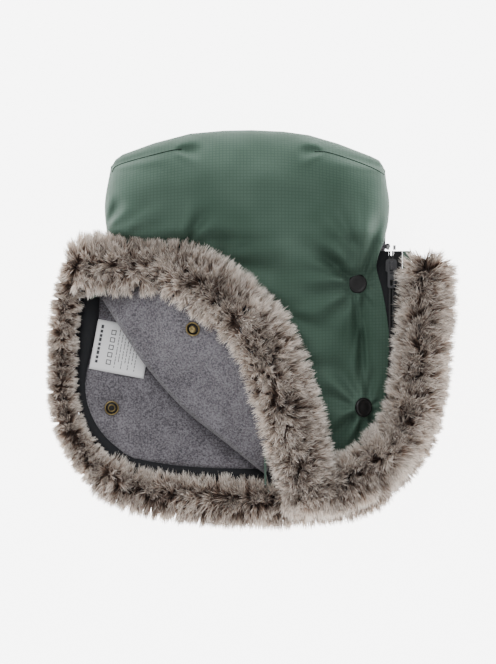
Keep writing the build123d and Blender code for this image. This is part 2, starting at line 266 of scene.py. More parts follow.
@dataclass(frozen=True)
class Pile(Finish):
    """Acrylic pile: dark roots, brown middle, pale tips, each strand a little different."""

    stops: tuple = ((0.0, "4A3930"), (0.25, "6B564A"), (0.5, "B49D8D"), (0.75, "E8DACD"),
                    (1.0, "FCF7F0"))
    # darker strands: random tone, and painted shade on the strands from the top of the core
    dark: tuple = ((0.0, "241914"), (0.55, "3A2A22"), (1.0, "7A6557"))

    def build(self) -> bpy.types.Material:
        """Makes the material from the strand's own coordinates: random tone and painted shade
        across, root to tip up.
        """
        material, tree, shader = self.base()
        strand = add_node(tree, "ShaderNodeUVMap", uv_map="OFBake").outputs[0]
        split = add_node(tree, "ShaderNodeSeparateXYZ", {0: strand})
        pale = colour_ramp(tree, split.outputs[1], self.stops)
        dark = colour_ramp(tree, split.outputs[1], self.dark)
        share = add_node(tree, "ShaderNodeMapRange", {0: split.outputs[0], 1: 0.42, 2: 0.78})
        final = add_node(tree, "ShaderNodeMix", {0: share.outputs[0], 6: pale, 7: dark},
                         data_type="RGBA").outputs[2]
        tree.links.new(final, shader.inputs["Base Color"])
        return material


@dataclass(frozen=True)
class Woven(Finish):
    """Narrow woven tape with fine ribs."""

    rib: float = 1.1  # mm

    def build(self) -> bpy.types.Material:
        """Makes the material with a rib bump along the tape's own coordinates."""
        material, tree, shader = self.base()
        place = add_node(tree, "ShaderNodeTexCoord").outputs["Object"]
        wave = add_node(tree, "ShaderNodeTexWave",
                        {"Vector": place, "Scale": 0.314 / (self.rib * MM), "Distortion": 1.0})
        bump = add_node(tree, "ShaderNodeBump", {"Strength": 0.4, "Distance": 0.0003,
                                                 "Height": wave.outputs["Fac"]})
        tree.links.new(bump.outputs[0], shader.inputs["Normal"])
        return material


FINISHES = {
    "green_ripstop": Ripstop("green_ripstop", "4D6156", 0.72, specular=0.12),
    "grey_fleece": Fleece("grey_fleece", "434045", 0.95, sheen=0.35, specular=0.1),
    "faux_fur": Pile("faux_fur", "8B7A70", 0.62, sheen=0.1, specular=0.25),
    "black_tape": Woven("black_tape", "1E1F22", 0.8, specular=0.25),
    # extruded nylon coil: a dull black gleam along each row
    "black_coil": Finish("black_coil", "17181A", 0.45),
    # plain woven nylon strip behind the pile: flat green
    "green_backing": Finish("green_backing", "43584D", 0.6, sheen=0.1),
    # moulded nylon cap: black with a soft highlight
    "black_cap": Finish("black_cap", "0D0C0D", 0.42, specular=0.35),
    # stamped, aged brass: warm and half polished
    "brass": Finish("brass", "857652", 0.33, metallic=1.0),
    # inside of a snap: metal painted near black, the painted shade of its recessed well
    "well_shade_metal": Finish("well_shade_metal", "15130F", 0.5, metallic=0.4),
    # woven satin ribbon: off-white with a faint sheen
    "label_satin": Finish("label_satin", "E2E2E4", 0.55, sheen=0.1),
    # printed ink: matt dark grey
    "label_ink": Finish("label_ink", "3A3A3E", 0.6),
    # crimped aluminium top stop: bright
    "stop_metal": Finish("stop_metal", "A0A0A0", 0.25, metallic=1.0),
    # plated die-cast zinc: dark grey metal
    "gunmetal": Finish("gunmetal", "4E4E50", 0.35, metallic=0.85),
    # sunk stitch line: the shade inside the seam
    "seam_shade": Finish("seam_shade", "141D19", 0.9, specular=0.1),
}
MATERIALS: dict[str, bpy.types.Material] = {}


def smooth(x: Array, low: float, high: float) -> Array:
    """Smooth step from 0 at low to 1 at high."""
    t = np.clip((np.asarray(x, float) - low) / (high - low), 0, 1)
    return t * t * (3 - 2 * t)


def spline(points: Sequence[Sequence[float]], count: int) -> Array:
    """Evenly spaced points on a smooth curve through the given points.

    Args:
        points: two- or three-dimensional points, mm.
        count: how many points to return.

    Returns:
        An array of count points.
    """
    p = np.asarray(points, float)
    p = np.vstack([2 * p[0] - p[1], p, 2 * p[-1] - p[-2]])
    rows = []
    for i in range(1, len(p) - 2):
        a, b, c, d = p[i - 1], p[i], p[i + 1], p[i + 2]
        for t in np.linspace(0, 1, 24, endpoint=False):
            rows.append(0.5 * (2 * b + (c - a) * t + (2 * a - 5 * b + 4 * c - d) * t * t
                               + (3 * b - a - 3 * c + d) * t ** 3))
    rows.append(p[-2])
    dense = np.array(rows)
    step = np.r_[0, np.cumsum(np.linalg.norm(np.diff(dense, axis=0), axis=1))]
    where = np.linspace(0, step[-1], count)
    return np.stack([np.interp(where, step, dense[:, k]) for k in range(dense.shape[1])], 1)


def make_mesh(name: str, verts: Array, faces: Sequence[Sequence[int]],
              finishes: Sequence[str], slots: Sequence[int] | None = None,
              weave: Array | None = None) -> bpy.types.Object:
    """Makes a smooth-shaded mesh object from points in millimetres.

    Args:
        name: the object's name.
        verts: points, mm.
        faces: vertex indices of each face.
        finishes: names of the finishes it uses.
        slots: finish index of each face.
        weave: millimetre coordinates of the cloth at each point.

    Returns:
        The object, at the origin.
    """
    mesh = bpy.data.meshes.new(name)
    mesh.from_pydata((np.asarray(verts) * MM).tolist(), [], [list(map(int, f)) for f in faces])
    for finish in finishes:
        mesh.materials.append(MATERIALS[finish])
    if slots is not None:
        mesh.polygons.foreach_set("material_index", np.asarray(slots, np.int32))
    mesh.polygons.foreach_set("use_smooth", np.ones(len(mesh.polygons), bool))
    if weave is not None:
        store(mesh, "weave", "FLOAT_VECTOR", weave)
    mesh.validate()
    mesh.update()
    obj = bpy.data.objects.new(name, mesh)
    bpy.context.scene.collection.objects.link(obj)
    return obj


def store(mesh: bpy.types.Mesh, name: str, kind: str, values: Array) -> None:
    """Stores a value on every point of a mesh."""
    layer = mesh.attributes.new(name, kind, "POINT")
    layer.data.foreach_set("value" if kind == "FLOAT" else "vector",
                           np.asarray(values, np.float32).ravel())


def grid_faces(rows: int, cols: int, start: int = 0, flip: bool = False) -> list[list[int]]:
    """Quads of a grid whose points are numbered row by row."""
    quads = []
    for j in range(rows - 1):
        for i in range(cols - 1):
            a = start + j * cols + i
            quad = [a, a + 1, a + cols + 1, a + cols]
            quads.append(quad[::-1] if flip else quad)
    return quads


def grid_normals(p: Array) -> Array:
    """Unit normals of a grid of points shaped rows, cols, 3."""
    n = np.cross(np.gradient(p, axis=1), np.gradient(p, axis=0))
    return n / np.maximum(np.linalg.norm(n, axis=2, keepdims=True), 1e-9)


def settle(cloth: bpy.types.Object, points: Array, gap: float) -> Array:
    """Drops level points onto a cloth from above.

    Args:
        cloth: the object to land on.
        points: x and y of each point, mm.
        gap: how far above the cloth to stop, mm.

    Returns:
        The points with their heights, mm.
    """
    tree = BVHTree.FromPolygons([v.co for v in cloth.data.vertices],
                                [list(p.vertices) for p in cloth.data.polygons])
    heights = []
    for x, y in np.asarray(points)[:, :2]:
        hit = tree.ray_cast(Vector((x * MM, y * MM, DROP_FROM)), Vector((0, 0, -1)))[0]
        heights.append(hit.z / MM if hit else (heights[-1] if heights else 0.0))
    return np.c_[np.asarray(points)[:, :2], np.array(heights) + gap]


def level(x: Array, y: Array) -> Array:
    """Height of the front flap's green face above the ground, mm."""
    centre = np.interp(y, [-150, -118, -90, -50, 0, 40, 86], [29, 34, 45, 58, 71, 79, 84])
    half = np.interp(y, [-150, 20, 52, 86], [108, 108, 116, 150])
    off = np.abs(x - (-12 + np.interp(y, [-150, 86], [8, 0]))) / half
    dome = np.clip(1 - off ** 2.3, 0, 1) ** 0.85
    side = LOW + smooth(y, 45, 86) * 8 * smooth(off, 0.6, 1.0)
    height = side + (centre - LOW) * dome
    across = (x - FOLD[0]) * ACROSS[0] + (y - FOLD[1]) * ACROSS[1]
    roof = np.interp(across, [0, 45, 68, 95, 150, 210], [28.4, 29.5, 36, 46, 66, 90])
    return -5 * np.log(np.exp(-height / 5) + np.exp(-roof / 5))


@dataclass(frozen=True)
class Crease:
    """A soft pulled fold in the cloth: a groove (or a ridge) between two points."""

    start: Point
    end: Point
    depth: float
    width: float

    def at(self, x: Array, y: Array) -> Array:
        """Height change at the given points, mm; grooves are negative."""
        a, b = np.array(self.start), np.array(self.end)
        run = b - a
        length = float(np.linalg.norm(run))
        along = ((x - a[0]) * run[0] + (y - a[1]) * run[1]) / length
        side = ((x - a[0]) * -run[1] + (y - a[1]) * run[0]) / length
        t = np.clip(along / length, 0, 1)
        fade = smooth(along, -0.15 * length, 0.1 * length) * (1 - smooth(t, 0.45, 1.0))
        beyond = 1 - smooth(along, length, length * 1.1)
        width = self.width * (0.6 + 1.1 * t)
        groove = np.exp(-(side / width) ** 2) - 0.45 * np.exp(-((side - 2 * width) / width) ** 2)
        groove = groove - 0.45 * np.exp(-((side + 2 * width) / width) ** 2)
        return -self.depth * fade * beyond * groove


CREASES = (
    # pulls fanning out of the upper right snap
    Crease((88, 47), (46, 78), 9.0, 5.0), Crease((99, 54), (121, 122), 8.0, 4.5),
    Crease((86, 38), (30, 28), 4.6, 6.0), Crease((88, 32), (50, -8), 4.6, 6.0),
    Crease((94, 54), (100, 96), 3.0, 3.5), Crease((80, 50), (20, 62), 4.0, 5.0),
    Crease((90, 52), (106, 92), -2.5, 5.0), Crease((103, 46), (119, 54), 2.6, 2.0),
    Crease((102, 39), (120, 42), 2.2, 2.0), Crease((98, 34), (112, 12), 2.2, 3.0),
    # the edge of the wadding from snap to snap
    Crease((90, 33), (97, -30), 4.2, 3.0), Crease((98, -4), (97, -70), 4.2, 3.0),
    # pulls fanning out of the lower right snap
    Crease((94, -86), (62, -118), 6.5, 5.0), Crease((92, -80), (40, -62), 5.0, 6.0),
    Crease((94, -74), (66, -26), 4.5, 5.5), Crease((104, -74), (112, -36), 3.0, 4.0),
    Crease((108, -78), (121, -74), 2.2, 1.8), Crease((108, -84), (121, -86), 2.2, 1.8),
    Crease((106, -90), (114, -104), 2.6, 3.0), Crease((98, -92), (96, -116), 3.0, 3.5),
    # broad puckers of the wadding
    Crease((74, 62), (20, 84), 4.4, 6.0), Crease((-44, 70), (-40, 100), 3.2, 7.0),
    Crease((-76, 86), (-54, 120), 6.5, 5.0), Crease((-156, 104), (-138, 130), 6.5, 4.5),
    Crease((-130, 94), (-86, 100), 5.0, 6.0), Crease((88, 82), (62, 134), 4.6, 6.0),
    Crease((-30, 62), (36, 50), 4.4, 8.0), Crease((30, 8), (84, -14), 3.4, 7.0),
    Crease((24, -34), (84, -50), 3.4, 7.0), Crease((-10, 32), (34, 2), 3.2, 7.0),
    # gathers above and at the ends of the two crown seams
    Crease((-152, 161), (-78, 181), 2.6, 4.0), Crease((122, 158), (50, 178), 2.6, 4.0),
    Crease((-86, 175), (-58, 172), 3.0, 4.0), Crease((56, 174), (30, 172), 3.0, 4.0),
    Crease((-84, 184), (-60, 188), -2.2, 5.0), Crease((54, 182), (34, 187), -2.2, 5.0),
)
# x, y, height and slope of the cloth under each cap
SNAP_SEATS = ((93.5, 43, 31.5, -0.08), (99.5, -81, 35.0, -0.62), (-120, 43, 29.6, 0.0))
CROWN_SEAMS = (
    ((-152, 154), (-147, 160), (-130, 165), (-110, 170), (-94, 174), (-82, 176)),
    ((121, 151), (106, 158), (90, 164), (72, 170), (60, 173), (50, 173)),
)


def wrinkles(x: Array, y: Array) -> Array:
    """All the creases and a slow unevenness of the wadding, mm."""
    total = sum(c.at(x, y) for c in CREASES)
    puff = 1.3 * np.sin(x / 23 + 1.1 * np.sin(y / 31)) * np.sin(y / 27 + 0.9 * np.sin(x / 37))
    fine = 0.45 * np.sin(x / 9.1 + y / 13.7) * np.sin(y / 8.3 - x / 15.1)
    return total + puff + fine


@dataclass
class Muff:
    """Crown and front flap: one quilted cloth, green outside, fleece inside."""

    columns: int = 170
    flap_rows: int = 135
    crown_rows: int = 64
    thickness: float = 9.5
    seam_height: float = 27.0
    crown_height: float = 84.0
    crown_length: float = 112.0

    def plan(self, along: Array) -> tuple[Array, Array]:
        """Left and right ends of the rows.

        Args:
            along: 0 at the hem, 1 where the crown begins, 2 at the crown's end.

        Returns:
            Left points and right points, mm.
        """
        left = spline([(8, -138), (-54, -86), (-104, -30), (-147, 22), (-157, 50),
                       (-157, 86)], 101)
        right = spline([(90, -126), (105, -121), (116, -110), (120, -96), (123, -60),
                        (126, -18), (124, 8), (119, 36), (113, 60), (116, 75), (121, 86)], 101)
        crown_left = spline([(-157, 86), (-160, 116), (-159, 136), (-154, 157)], 51)
        crown_right = spline([(121, 86), (125, 106), (126, 128), (122, 153)], 51)
        a = np.vstack([left, crown_left[1:]])
        b = np.vstack([right, crown_right[1:]])
        ticks = np.r_[np.linspace(0, 1, 101), np.linspace(1, 2, 51)[1:]]
        return (np.stack([np.interp(along, ticks, a[:, k]) for k in (0, 1)], 1),
                np.stack([np.interp(along, ticks, b[:, k]) for k in (0, 1)], 1))

    def sheet(self) -> tuple[Array, Array, Array]:
        """Outer face from the hem over the crown and back underneath it.

        Returns:
            Points in rows, how far along each row is, and cloth coordinates.
        """
        flap = np.linspace(0, 1, self.flap_rows)
        angle = np.linspace(0, math.pi / 2, self.crown_rows)
        crown = 1 + np.sin(angle)
        under = 1 + np.sin(angle[::-1][1:])
        along = np.r_[flap, crown[1:], under]
        bottom = np.r_[np.zeros(self.flap_rows + self.crown_rows - 1), np.ones(len(under))]
        left, right = self.plan(along)
        across = 0.5 - 0.5 * np.cos(np.linspace(0.0, math.pi, self.columns))
        across = 0.55 * across + 0.45 * np.linspace(0, 1, self.columns)
        x = left[:, :1] * (1 - across) + right[:, :1] * across
        y = left[:, 1:] * (1 - across) + right[:, 1:] * across
        end = np.interp(x, [-160, -154, -149, -142, -110, -74, -40, -12, 20, 45, 74, 108, 116,
                            120, 124],
                        [150, 160, 168, 173, 184.5, 194, 197, 197.5, 196, 192.5, 184, 171, 167,
                         161, 150])
        last_left, last_right = self.plan(np.array([2.0]))
        straight = np.interp(x, [last_left[0, 0], last_right[0, 0]],
                             [last_left[0, 1], last_right[0, 1]])
        y = y + np.clip(along[:, None] - 1, 0, 1) ** 1.3 * (end - straight)
        from_side = np.minimum(x - left[:, :1], right[:, :1] - x)
        closed = smooth(along, 0.84, 1.14)[:, None]
        round_side = np.sqrt(1 - (1 - np.clip(from_side / 46, 0, 1)) ** 2)
        rest = np.clip((2 - along) * self.crown_length, 0, None)[:, None]
        round_end = np.sqrt(1 - (1 - np.clip(rest / 58, 0, 1)) ** 2)
        top = level(x, np.minimum(y, 86)) - 5 * smooth(y, 120, 198)
        crown_top = self.seam_height + (self.crown_height - 6 * smooth(y, 110, 198)
                                        - self.seam_height) * round_side ** 0.9 * round_end
        z = top * (1 - closed) + crown_top * closed
        fold = wrinkles(x, y) * np.where(y > 60, np.clip(round_side * 1.6, 0, 1), 1.0)
        margin = smooth(from_side, 0, 14) * (1 - closed) + closed
        z = z + fold * margin * np.clip(round_end * 1.5, 0, 1)
        for cx, cy, height, slope in SNAP_SEATS:
            near = np.exp(-(np.hypot(x - cx, y - cy) / 12) ** 4)
            z = z * (1 - near) + (height + slope * (x - cx)) * near
        low = self.seam_height * (1 - round_side * round_end) + 1.0
        z = np.where(bottom[:, None] > 0, low, z)
        points = np.stack([x, y, z], 2)
        step = np.linalg.norm(np.diff(points[:, self.columns // 2], axis=0), axis=1)
        run = np.r_[0, np.cumsum(step)]
        weave = np.stack([x, np.broadcast_to(run[:, None], x.shape), 0 * x], 2)
        return points, along, weave

    def build(self) -> bpy.types.Object:
        """Makes the piece: outer face, inner face and rims between them."""
        outer, along, weave = self.sheet()
        rows, cols = outer.shape[:2]
        calm = outer.copy()
        for _ in range(12):
            calm[1:-1, 1:-1] = (calm[:-2, 1:-1] + calm[2:, 1:-1] + calm[1:-1, :-2]
                                + calm[1:-1, 2:]) / 4
        normals = grid_normals(calm)
        rim = 14.0  # columns over which the cloth thickens from its edge
        edge = np.minimum(np.arange(cols), np.arange(cols)[::-1]) / rim
        thin = np.clip(np.minimum(edge[None, :], (np.arange(rows) / 10.0)[:, None]), 0, 1)
        depth = self.thickness * (0.45 + 0.55 * np.sin(thin * math.pi / 2))
        room = np.minimum(edge * rim * 0.7, ((2 - along) * self.crown_length)[:, None])
        depth = depth * np.where(along[:, None] > 1, 0.1 + 0.9 * smooth(room, 0, 30), 1.0)
        inner = outer - normals * depth[..., None]
        verts = np.vstack([outer.reshape(-1, 3), inner.reshape(-1, 3)])
        count = rows * cols
        faces = grid_faces(rows, cols) + grid_faces(rows, cols, count, True)
        slots = [0] * ((rows - 1) * (cols - 1)) + [1] * ((rows - 1) * (cols - 1))
        for j in range(rows - 1):
            for i, turn in ((0, False), (cols - 1, True)):
                a, b = j * cols + i, (j + 1) * cols + i
                quad = [a, b, b + count, a + count]
                faces.append(quad[::-1] if turn else quad)
                slots.append(0)
        for i in range(cols - 1):
            for j, turn in ((0, True), (rows - 1, False)):
                a, b = j * cols + i, j * cols + i + 1
                quad = [a, b, b + count, a + count]
                faces.append(quad[::-1] if turn else quad)
                slots.append(0)
        flat = np.vstack([weave.reshape(-1, 3)] * 2)
        obj = make_mesh("muff_front_cloth", verts, faces, ["green_ripstop", "grey_fleece"],
                        slots, flat)
        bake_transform(obj)
        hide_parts("front_shell", "front_wadding", "front_lining")
        self.seams(obj)
        return obj

    def seams(self, cloth: bpy.types.Object) -> None:
        """Draws the two sewn darts of the crown as fine sunk lines on the cloth."""
        for side, path in zip(("left", "right"), CROWN_SEAMS):
            line = settle(cloth, spline(path, 60), 0.25)
            way = np.gradient(line[:, :2], axis=0)
            way = np.c_[-way[:, 1], way[:, 0]] / np.linalg.norm(way, axis=1, keepdims=True)
            wide = 0.55 * np.c_[way, np.zeros(60)]
            seam = ribbon(f"crown_seam_{side}", line - wide, line + wide, 0.4, "seam_shade")
            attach(seam, Body.BACK.value)


def ribbon(name: str, inner: Array, outer: Array, thickness: float,
           finish: str) -> bpy.types.Object:
    """Makes a flat closed strip between two curves.

    Args:
        name: the object's name.
        inner: points of one upper edge, mm.
        outer: points of the other upper edge, mm.
        thickness: how thick the strip is, mm.
        finish: name of its finish.

    Returns:
        The object.
    """
    mid = (inner + outer) / 2 + [0, 0, 0.35 * thickness]
    down = np.array([0, 0, thickness])
    rings = np.stack([inner, mid, outer, outer - down, inner - down], 1)
    count, size = rings.shape[:2]
    faces = []
    for j in range(count - 1):
        for i in range(size):
            a, b = j * size + i, j * size + (i + 1) % size
            faces.append([a, a + size, b + size, b])
    faces.append(list(range(size)))
    faces.append([(count - 1) * size + i for i in range(size)][::-1])
    return make_mesh(name, rings.reshape(-1, 3), faces, [finish])


def thick_grid(name: str, top: Array, bottom: Array,
               finishes: tuple[str, str]) -> bpy.types.Object:
    """Makes a closed pad from an upper and a lower grid of the same size.

    Args:
        name: the object's name.
        top: points of the upper face in rows, mm.
        bottom: points of the lower face, mm.
        finishes: finish of the upper face and rim, and of the lower face.

    Returns:
        The object.
    """
    rows, cols = top.shape[:2]
    count = rows * cols
    verts = np.vstack([top.reshape(-1, 3), bottom.reshape(-1, 3)])
    faces = grid_faces(rows, cols) + grid_faces(rows, cols, count, True)
    slots = [0] * ((rows - 1) * (cols - 1)) + [1] * ((rows - 1) * (cols - 1))
    ring = ([i for i in range(cols)] + [j * cols + cols - 1 for j in range(1, rows)]
            + [(rows - 1) * cols + i for i in range(cols - 2, -1, -1)]
            + [j * cols for j in range(rows - 2, 0, -1)])
    for a, b in zip(ring, ring[1:] + ring[:1]):
        faces.append([b, a, a + count, b + count])
        slots.append(0)
    flat = np.vstack([top.reshape(-1, 3)] * 2)
    return make_mesh(name, verts, faces, list(finishes), slots, flat)


def nap_waves(x: Array, y: Array) -> Array:
    """Soft unevenness of brushed fleece over wadding, mm."""
    return (1.1 * np.sin(x / 19 + y / 33) * np.sin(y / 17 - x / 41)
            + 0.5 * np.sin(x / 7.7 - y / 11.3) * np.sin(y / 9.1 + x / 23))


@dataclass
class BackFlap:
    """Back flap: fleece above, green cloth below, black zip tape round its edge."""

    rows: int = 120
    columns: int = 130
    top: float = 11.6
    dimples: tuple[Point, ...] = ((-155, -83), (96, 43), (99, -82), (-120, 43))

    def build(self) -> list[bpy.types.Object]:
        """Makes the flap and its tape, riding on the back."""
        left = spline([(-132, -136), (-151, -124), (-167, -106), (-178, -86), (-183, -63),
                       (-180, -38), (-172, -4), (-168, 28), (-167, 60), (-156, 104)],
                      self.rows)
        right = spline([(94, -139), (110, -132), (119, -118), (121, -96), (121, -40),
                        (121, 30), (124, 104)], self.rows)
        a = np.linspace(0, 1, self.columns)[None, :]
        x = left[:, :1] * (1 - a) + right[:, :1] * a
        y = left[:, 1:] * (1 - a) + right[:, 1:] * a
        y = y - 8 * np.sin(math.pi * a) * (1 - smooth(np.arange(self.rows), 0, 40))[:, None]
        edge = np.minimum(np.minimum(x - left[:, :1], right[:, :1] - x),
                          np.arange(self.rows)[:, None] * 2.0)
        z = self.top + nap_waves(x, y) * 1.3 * smooth(edge, 0, 25) - 2.5 * (1 - smooth(edge, 0, 9))
        for sx, sy in self.dimples:
            r = np.hypot(x - sx, y - sy)
            z = z - 2.2 * np.exp(-(r / 13) ** 2) + 0.8 * np.exp(-((r - 22) / 9) ** 2)
        low = 0.4 + 4.0 * (1 - smooth(edge, 0, 10))
        pad = thick_grid("back_flap_pad", np.stack([x, y, z], 2), np.stack([x, y, low], 2),
                         ("grey_fleece", "green_ripstop"))
        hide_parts("back_lining", "back_wadding", "back_shell")
        inner = [(-163, 60), (-166, 28), (-169, -4), (-178, -38), (-181, -63), (-176, -86),
                 (-165, -106), (-149, -122), (-130, -133), (-84, -141), (-17, -144),
                 (60, -143), (96, -138), (114, -124), (119, -96), (119, 40),
                 (119, 72)]
        outer = [(-182, 60), (-186, 28), (-189, 3), (-192, -30), (-192, -60), (-189, -80),
                 (-181, -105), (-164, -127), (-144, -147), (-100, -156), (-17, -158),
                 (60, -157), (100, -152), (122, -132), (129, -106), (134, 40),
                 (137, 72)]
        a3 = np.c_[spline(inner, 160), np.full(160, 11.2)]
        b3 = np.c_[spline(outer, 160), np.full(160, 10.2)]
        tape = ribbon("back_tape_band", a3, b3, 1.6, "black_tape")
        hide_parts("back_zip_tape")
        for obj in (pad, tape):
            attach(obj, Body.BACK.value)
        return [pad, tape]


@dataclass
class Corner:
    """Folded corner: fleece up, green cloth under, with a roll of fleece at the crease."""

    rows: int = 110
    columns: int = 110
    roll_rows: int = 30  # rows round the crease
    roll_middle: float = 28.2  # height of the middle of the roll, mm

    def place(self, u: Array, d: Array, z: Array) -> Array:
        """Turns crease coordinates, with d level across it, into the frame's millimetres."""
        x = FOLD[0] + u * ALONG[0] + d * ACROSS[0]
        y = FOLD[1] + u * ALONG[1] + d * ACROSS[1]
        return np.stack([x, y, z], -1)

    def build(self) -> list[bpy.types.Object]:
        """Makes the corner's cloth, curved round the crease between the front flap and the corner.
        """
        flat_rows = self.rows - self.roll_rows
        low = spline([(-86, 0), (-72, 46), (-47, 71), (-10, 93), (16, 101)], flat_rows)
        high = spline([(154, 0), (132, 33), (109, 55), (82, 78), (48, 98)], flat_rows)
        left = np.vstack([np.repeat(low[:1], self.roll_rows, 0), low])
        right = np.vstack([np.repeat(high[:1], self.roll_rows, 0), high])
        a = np.linspace(0, 1, self.columns)[None, :]
        u = left[:, :1] * (1 - a) + right[:, :1] * a
        d = left[:, 1:] * (1 - a) + right[:, 1:] * a
        turn = np.linspace(-math.pi / 2, math.pi / 2, self.roll_rows + 1)[:-1]
        roll_d = -8.5 * np.cos(turn)
        roll_z = self.roll_middle + 11.3 * np.sin(turn)
        lead = np.clip((9 - np.arange(self.roll_rows)) / 9, 0, 1) * 16
        d[:self.roll_rows] = (roll_d + lead)[:, None]
        slope = math.tan(TILT)
        top = np.broadcast_to(39.5 + slope * np.clip(d, 0, None), d.shape).copy()
        top[:self.roll_rows] = np.where(lead > 0, 16.6, roll_z)[:, None]
        share = np.clip((u + 84) / 238, 0, 1)
        edge_line = spline([(-90, 11.5), (-84, 10.6), (-46, 3.5), (-7, -3), (50, -4.8),
                            (109, 3.4), (155, 9.8), (162, 11)], 120)
        bend = -(np.interp(u, edge_line[:, 0], edge_line[:, 1]) + 8.5) * (1 - smooth(d, -5, 60))
        pinch = 1 - 0.55 * (1 - smooth(share, 0.0, 0.12)) - 0.55 * smooth(share, 0.88, 1.0)
        top = self.roll_middle + (top - self.roll_middle) * pinch
        edge = np.minimum(np.minimum(a, 1 - a) * (right[:, :1] - left[:, :1]),
                          (left[-1, 1] - np.clip(d, 0, None)) + 6)
        shift = d - bend
        grid = self.place(u, shift, top)
        flat = grid[..., 0], grid[..., 1]
        swell = nap_waves(*flat) * 2.0 + 3.0 * np.sin(u / 31 + 1.0) * np.sin(np.clip(d, 0, 99) / 34)
        lift = swell * smooth(d, 0, 20)
        r = np.hypot(grid[..., 0] + 71.5, grid[..., 1] + 4)
        lift = lift - 3.2 * np.exp(-(r / 12) ** 2) + 1.2 * np.exp(-((r - 22) / 9) ** 2)
        grid[..., 2] += lift - 3.5 * (1 - smooth(edge, 0, 10))
        thick = 3.0 + 6.5 * smooth(d, 0, 22) * smooth(edge, 0, 12)
        under = grid - grid_normals(grid) * thick[..., None]
        pad = thick_grid("corner_cloth", grid, under, ("grey_fleece", "green_ripstop"))
        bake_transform(pad)
        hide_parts("corner_shell", "corner_wadding", "corner_lining")
        inner = spline([(-78, 44), (-50, 70), (-12, 92), (20, 101), (50, 97), (84, 76),
                        (111, 53), (132, 34)], 120)
        outer = spline([(-86, 50), (-58, 80), (-16, 103), (21, 112), (57, 107), (93, 84),
                        (120, 61), (141, 40)], 120)
        lines = [self.place(p[:, 0], p[:, 1], 37.4 + slope * p[:, 1]) for p in (inner, outer)]
        tape = ribbon("corner_tape_band", lines[0], lines[1], 1.6, "black_tape")
        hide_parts("corner_zip_tape", "corner_fur_tape", "corner_zip_coil")
        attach(tape, Body.CORNER.value)
        return [pad, tape]


@dataclass
class FurBand:
    """A stretch of the fur trim: a padded core with strands standing out of it."""

    name: str
    body: Body
    path: Sequence[tuple[float, float, float]]
    wide: Sequence[float]
    tall: Sequence[float]
    length: float = 19.0
    lock: float = 5.0
    count: int = 36000  # strands, before each face's share
    seed: int = 1
    lean: tuple[float, float, float] = (0.0, 0.0, 0.0)
    nodes: tuple[str, ...] = ()
    rings: int = 70
    round_parts: int = 18
    turns: bool = False  # both faces come into view as it moves

    def core(self) -> bpy.types.Object:
        """Makes the core tube with the strands' direction stored on it."""
        centre = spline(self.path, self.rings)
        t = np.linspace(0, 1, self.rings)
        wide = np.interp(t, np.linspace(0, 1, len(self.wide)), self.wide)
        tall = np.interp(t, np.linspace(0, 1, len(self.tall)), self.tall)
        ends = np.sqrt(1 - (1 - np.clip(np.minimum(t, 1 - t) / 0.05, 0, 1)) ** 2)
        run = np.gradient(centre, axis=0)
        run /= np.linalg.norm(run, axis=1, keepdims=True)
        side = np.cross(run, [0, 0, 1.0])
        side /= np.linalg.norm(side, axis=1, keepdims=True)
        up = np.cross(side, run)
        ring = np.linspace(0, 2 * math.pi, self.round_parts, endpoint=False)
        out = (side[:, None] * np.cos(ring)[None, :, None] * (wide * ends)[:, None, None]
               + up[:, None] * np.sin(ring)[None, :, None] * (tall * ends)[:, None, None])
        verts = centre[:, None] + out
        away = (side[:, None] * (np.cos(ring) * 1.0)[None, :, None]
                + up[:, None] * (np.sin(ring) * 0.62)[None, :, None])
        tipped = run[:, None] * ((1 - ends) * np.where(t < 0.5, -1.2, 1.2))[:, None, None]
        flow = away + tipped + np.array(self.lean)
        faces = []
        n = self.round_parts
        for j in range(self.rings - 1):
            for i in range(n):
                k = (i + 1) % n
                faces.append([j * n + i, j * n + k, (j + 1) * n + k, (j + 1) * n + i])
        faces.append([i for i in range(n)][::-1])
        faces.append([(self.rings - 1) * n + i for i in range(n)])
        obj = make_mesh(self.name, verts.reshape(-1, 3), faces, ["faux_fur"])
        store(obj.data, "flow", "FLOAT_VECTOR", flow)
        rise = np.sin(ring)[None, :]
        fullest = 0.5 if self.turns else 0
        # crest marks the top of the core, whose strands are given painted shade
        for layer, values in (("crest", np.clip(rise, 0, 1) ** 2),
                              ("share", np.clip(0.1 + 0.8 * (rise + 0.7), fullest, 1)),
                              ("reach", 0.4 + 0.6 * smooth(rise, -0.75, -0.1))):
            store(obj.data, layer, "FLOAT", np.repeat(values, self.rings, 0))
        return obj

    def build(self) -> list[bpy.types.Object]:
        """Grows the strands, turns the result into a plain mesh and fixes it to its body."""
        obj = self.core()
        mesh = obj.data
        area = sum(p.area for p in mesh.polygons)
        tree = pile_tree()
        modifier = obj.modifiers.new("pile", "NODES")
        modifier.node_group = tree
        wanted = {"Density": self.count / area, "Length": self.length * MM,
                  "Seed": self.seed, "Material": MATERIALS["faux_fur"],
                  "Lock": self.lock * MM}
        for item in tree.interface.items_tree:
            if item.item_type == "SOCKET" and item.name in wanted:
                modifier[item.identifier] = wanted[item.name]
        bpy.context.view_layer.update()
        evaluated = obj.evaluated_get(bpy.context.evaluated_depsgraph_get())
        grown = bpy.data.meshes.new_from_object(evaluated)
        obj.modifiers.clear()
        obj.data = grown
        if self.nodes:
            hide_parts(*self.nodes)
        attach(obj, self.body.value)
        return [obj]


